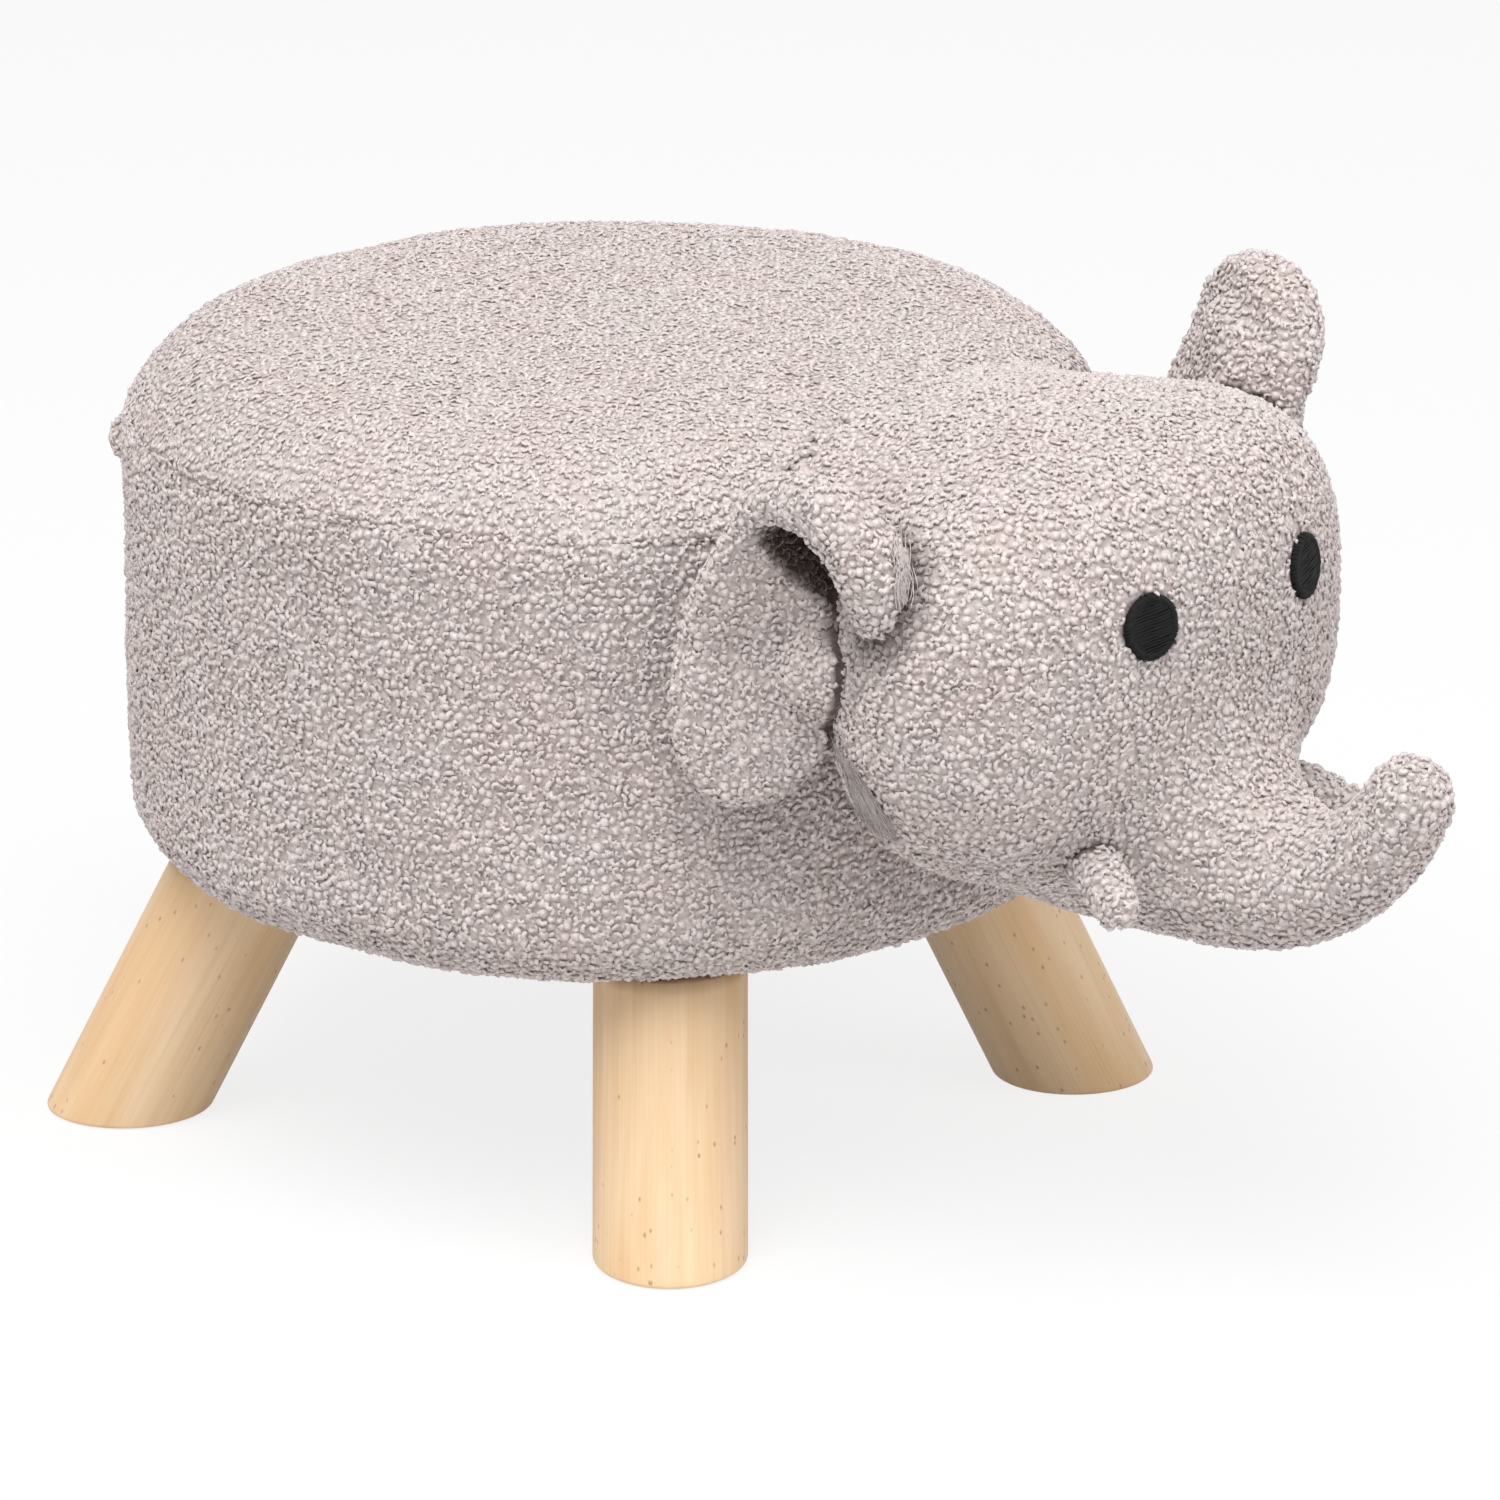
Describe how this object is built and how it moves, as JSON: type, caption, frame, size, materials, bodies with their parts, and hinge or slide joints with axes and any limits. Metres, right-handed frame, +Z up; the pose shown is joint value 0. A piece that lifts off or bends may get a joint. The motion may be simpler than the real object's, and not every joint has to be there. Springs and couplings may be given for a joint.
{
  "type": "animal footstool",
  "caption": "Round padded footstool in curly cloth, shaped as an elephant with head, curled trunk, ears, tusks and tail, on splayed round wooden legs.",
  "frame": {"origin": "on the floor, at the middle of the stool's footprint, from the tail's end to the trunk's front", "axes": "+Z up, -Y the way the head looks, +X towards the animal's left"},
  "size_m": [0.3, 0.5216, 0.2841],
  "materials": {
    "boucle_cloth": "curly boucle pile, warm light grey",
    "dust_cloth": "black nonwoven",
    "foam": "open-cell cushion foam",
    "wadding": "polyester wadding",
    "plywood": "unfinished plywood",
    "frame_pine": "planed pine",
    "hardboard": "thin hardboard",
    "zinc_plate": "zinc plated",
    "leg_pine": "clear satin lacquer on natural pine",
    "bolt_steel": "plain steel",
    "eye_thread": "black satin stitch"
  },
  "bodies": {
    "root": {"base_board": "plywood", "base_screw_front": "zinc_plate", "base_screw_left": "zinc_plate", "base_screw_rear": "zinc_plate", "base_screw_right": "zinc_plate", "dust_cover": "dust_cloth", "ear_left": "boucle_cloth", "ear_right": "boucle_cloth", "eye_left": "eye_thread", "eye_right": "eye_thread", "frame_post_front": "frame_pine", "frame_post_left": "frame_pine", "frame_post_rear": "frame_pine", "frame_post_right": "frame_pine", "frame_wall": "hardboard", "head": "boucle_cloth", "leg_bolt_front_left": "bolt_steel", "leg_bolt_front_right": "bolt_steel", "leg_bolt_rear_left": "bolt_steel", "leg_bolt_rear_right": "bolt_steel", "leg_front_left": "leg_pine", "leg_front_right": "leg_pine", "leg_insert_front_left": "bolt_steel", "leg_insert_front_right": "bolt_steel", "leg_insert_rear_left": "bolt_steel", "leg_insert_rear_right": "bolt_steel", "leg_rear_left": "leg_pine", "leg_rear_right": "leg_pine", "seat_foam": "foam", "seat_side_cover": "boucle_cloth", "seat_top_cover": "boucle_cloth", "side_wadding": "wadding", "tail": "boucle_cloth", "top_board": "plywood", "top_screw_front": "zinc_plate", "top_screw_left": "zinc_plate", "top_screw_rear": "zinc_plate", "top_screw_right": "zinc_plate", "trunk": "boucle_cloth", "tusk_left": "boucle_cloth", "tusk_right": "boucle_cloth"}
  },
  "joints": []
}
